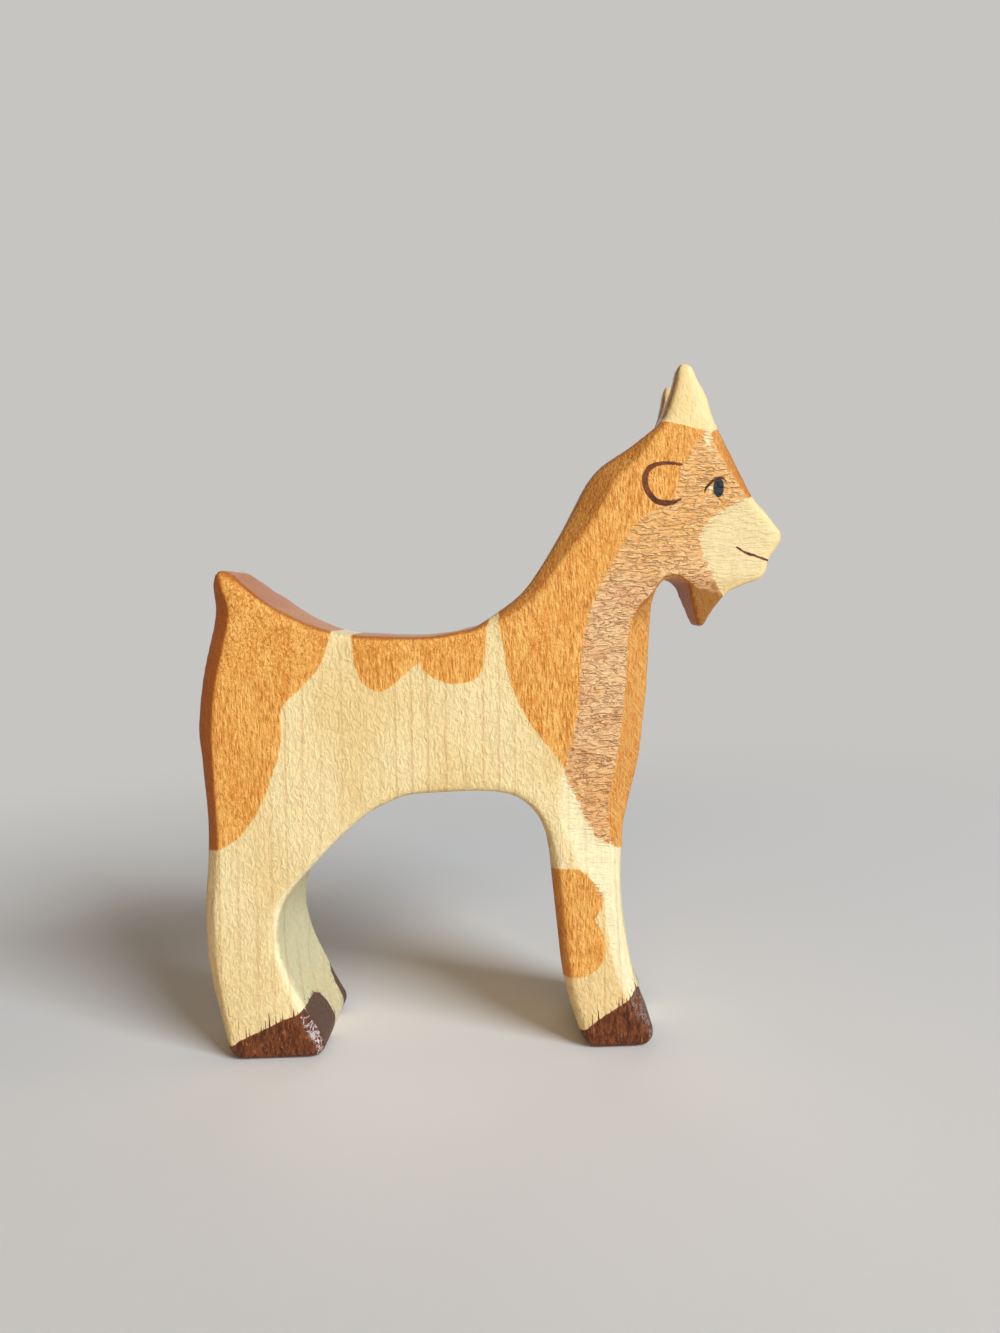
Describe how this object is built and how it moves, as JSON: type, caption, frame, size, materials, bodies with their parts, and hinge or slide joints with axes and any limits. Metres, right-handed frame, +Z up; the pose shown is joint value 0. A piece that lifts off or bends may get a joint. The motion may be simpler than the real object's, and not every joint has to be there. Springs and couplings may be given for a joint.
{
  "type": "wooden goat figure",
  "caption": "Standing goat figure sawn from one thick board of maple, with eased edges, upright horns, a pointed beard, a raised tail and an arch between the legs.",
  "frame": {"origin": "middle of the figure's outer box, at the level of the soles", "axes": "+X from the tail to the muzzle, +Y across the board towards the goat's left side, +Z up; the picture shows the -Y side"},
  "size_m": [0.1124, 0.027, 0.1264],
  "materials": {
    "painted_maple": "satin"
  },
  "bodies": {
    "root": {"goat_body": "painted_maple"}
  },
  "joints": []
}
